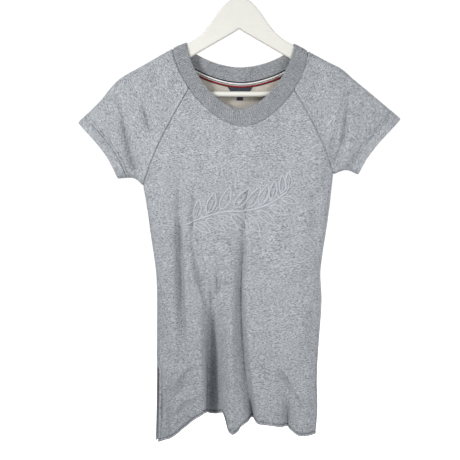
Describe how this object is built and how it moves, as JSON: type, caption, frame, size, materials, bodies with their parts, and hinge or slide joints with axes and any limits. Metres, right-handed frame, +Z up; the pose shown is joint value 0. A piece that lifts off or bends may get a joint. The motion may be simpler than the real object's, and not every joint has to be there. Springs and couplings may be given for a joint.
{
  "type": "sweatshirt dress on hanger",
  "caption": "Short sleeved raglan sweatshirt dress with a ribbed neck band and side vents, hanging from a wooden hanger with a trouser bar and a wire hook.",
  "frame": {"origin": "underside of the hook's crown, where a rail carries it, in the hanger's middle plane", "axes": "+Z up along the hook's stem, -Y out of the front of the dress, +X towards the right as seen from the front"},
  "size_m": [0.6421, 0.0907, 0.9896],
  "materials": {
    "fleece": "light grey heather sweatshirt fleece, smooth face, looped cream inside",
    "rib": "grey heather rib knit",
    "tape": "woven striped neck tape in navy, white and red",
    "label": "bare navy woven label",
    "hanger": "wood with off-white satin lacquer",
    "hook": "bright plated steel wire"
  },
  "bodies": {
    "root": {"front_panel": "fleece", "back_panel": "fleece", "sleeve_left": "fleece", "sleeve_right": "fleece", "neck_band": "rib", "neck_tape": "tape", "neck_label": "label", "size_label": "label", "hanger_body": "hanger", "hanger_bar": "hanger", "hanger_hook": "hook"}
  },
  "joints": []
}
